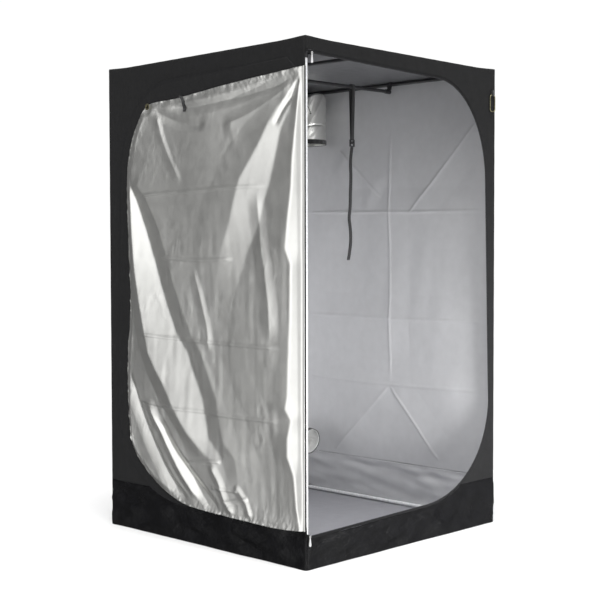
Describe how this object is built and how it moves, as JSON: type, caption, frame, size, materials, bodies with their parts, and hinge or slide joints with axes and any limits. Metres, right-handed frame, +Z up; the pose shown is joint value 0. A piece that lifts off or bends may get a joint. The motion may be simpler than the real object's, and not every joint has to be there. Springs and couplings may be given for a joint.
{
  "type": "printer enclosure tent",
  "caption": "Tall square fabric enclosure on a tube frame, with a D-shaped zipped door folded back, reflective lining, duct sleeves, ceiling bars and a hanging strap.",
  "frame": {"origin": "middle of the base, on the floor", "axes": "+Z up; the door opening faces -Y; +X to the right when facing the opening"},
  "size_m": [1.21, 1.2133, 2],
  "materials": {
    "black_canvas": "matte",
    "coated_skirt": "satin",
    "floor_lining": "satin",
    "door_canvas": "matte",
    "frame_tube": "satin",
    "dark_tube": "satin",
    "corner_moulding": "matte",
    "zip_tape": "matte",
    "webbing": "matte",
    "reflective_lining": "satin",
    "zip_slider": "satin",
    "zip_pull": "polished",
    "old_brass": "satin",
    "buckle_plastic": "satin"
  },
  "bodies": {
    "tent": {"carabiner_loop": "webbing", "cord_lock_upper": "buckle_plastic", "corner_connectors_bottom": "corner_moulding", "corner_connectors_top": "corner_moulding", "door_hinge_welt": "zip_tape", "door_hook": "old_brass", "drawstring_upper": "webbing", "duct_sleeve_lower": "reflective_lining", "duct_sleeve_upper": "reflective_lining", "floor": "floor_lining", "front_surround": "black_canvas", "port_collars": "webbing", "post_lower_back_left": "frame_tube", "post_lower_back_right": "frame_tube", "post_lower_front_left": "frame_tube", "post_lower_front_right": "frame_tube", "post_upper_back_left": "frame_tube", "post_upper_back_right": "frame_tube", "post_upper_front_left": "frame_tube", "post_upper_front_right": "frame_tube", "rail_bottom_back": "frame_tube", "rail_bottom_front": "frame_tube", "rail_bottom_left": "frame_tube", "rail_bottom_right": "frame_tube", "rail_top_back": "dark_tube", "rail_top_front": "dark_tube", "rail_top_left": "dark_tube", "rail_top_right": "dark_tube", "roof": "black_canvas", "skirt_back": "coated_skirt", "skirt_front": "coated_skirt", "skirt_left": "coated_skirt", "skirt_right": "coated_skirt", "sleeve_hem_lower": "webbing", "sleeve_hem_upper": "webbing", "wall_back": "black_canvas", "wall_left": "black_canvas", "wall_right": "black_canvas", "zip_tape_frame": "zip_tape"},
    "door": {"door_panel": "door_canvas", "zip_tape_door": "zip_tape", "door_eyelet": "old_brass", "door_tie_strap": "webbing"},
    "slider_top": {"zip_slider_top": "zip_slider"},
    "pull_top": {"zip_pull_top": "zip_pull"},
    "slider_foot": {"zip_slider_foot": "zip_slider"},
    "pull_foot": {"zip_pull_foot": "zip_pull"},
    "carabiner": {"carabiner": "old_brass"},
    "carabiner_gate": {"carabiner_gate": "old_brass"},
    "bar_a": {"ceiling_bar_a": "dark_tube", "ceiling_bar_a_clip_front": "corner_moulding", "ceiling_bar_a_clip_back": "corner_moulding"},
    "bar_b": {"ceiling_bar_b": "dark_tube", "ceiling_bar_b_clip_left": "corner_moulding", "ceiling_bar_b_clip_right": "corner_moulding"},
    "hanging_strap": {"strap_loop": "webbing", "strap_buckle": "buckle_plastic"},
    "strap_tail": {"strap_tail": "webbing"},
    "tray": {"floor_tray": "floor_lining"}
  },
  "joints": [
    {"name": "door_swing", "type": "hinge", "parent": "tent", "child": "door", "pos_m": [-0.602, -0.602, 1], "axis": [0, 0, 1], "range_deg": [0, 270]},
    {"name": "slider_top_run", "type": "slide", "parent": "tent", "child": "slider_top", "axis": [0.9995, 0, -0.0316], "range_m": [0, 0.75]},
    {"name": "pull_top_swing", "type": "hinge", "parent": "slider_top", "child": "pull_top", "pos_m": [-0.575, -0.607, 1.94921], "axis": [0, 1, 0], "range_deg": [-75, 75]},
    {"name": "slider_foot_run", "type": "slide", "parent": "tent", "child": "slider_foot", "axis": [0.9997, 0, 0.0243], "range_m": [0, 0.65]},
    {"name": "pull_foot_swing", "type": "hinge", "parent": "slider_foot", "child": "pull_foot", "pos_m": [-0.589, -0.607, 0.13027], "axis": [0, 1, 0], "range_deg": [-75, 75]},
    {"name": "carabiner_swing", "type": "hinge", "parent": "tent", "child": "carabiner", "pos_m": [0.572, -0.606, 1.888], "axis": [-1, 0, 0], "range_deg": [0, 75]},
    {"name": "carabiner_gate_open", "type": "hinge", "parent": "carabiner", "child": "carabiner_gate", "pos_m": [0.555, -0.606, 1.8338], "axis": [0, 1, 0], "range_deg": [0, 25], "stiffness_Nm_per_rad": 0.05, "springref_deg": -11.46},
    {"name": "bar_a_slide", "type": "slide", "parent": "tent", "child": "bar_a", "axis": [1, 0, 0], "range_m": [-0.25, 0.35]},
    {"name": "bar_b_slide", "type": "slide", "parent": "tent", "child": "bar_b", "axis": [0, 1, 0], "range_m": [-0.4, 0.25]},
    {"name": "strap_slide", "type": "slide", "parent": "bar_b", "child": "hanging_strap", "axis": [1, 0, 0], "range_m": [-0.5, 0.15]},
    {"name": "strap_tail_swing", "type": "hinge", "parent": "hanging_strap", "child": "strap_tail", "pos_m": [0.315, -0.01, 1.6816], "axis": [1, 0, 0], "range_deg": [-30, 30]},
    {"name": "tray_lift", "type": "slide", "parent": "tent", "child": "tray", "axis": [0, 0, 1], "range_m": [0, 0.15]}
  ]
}
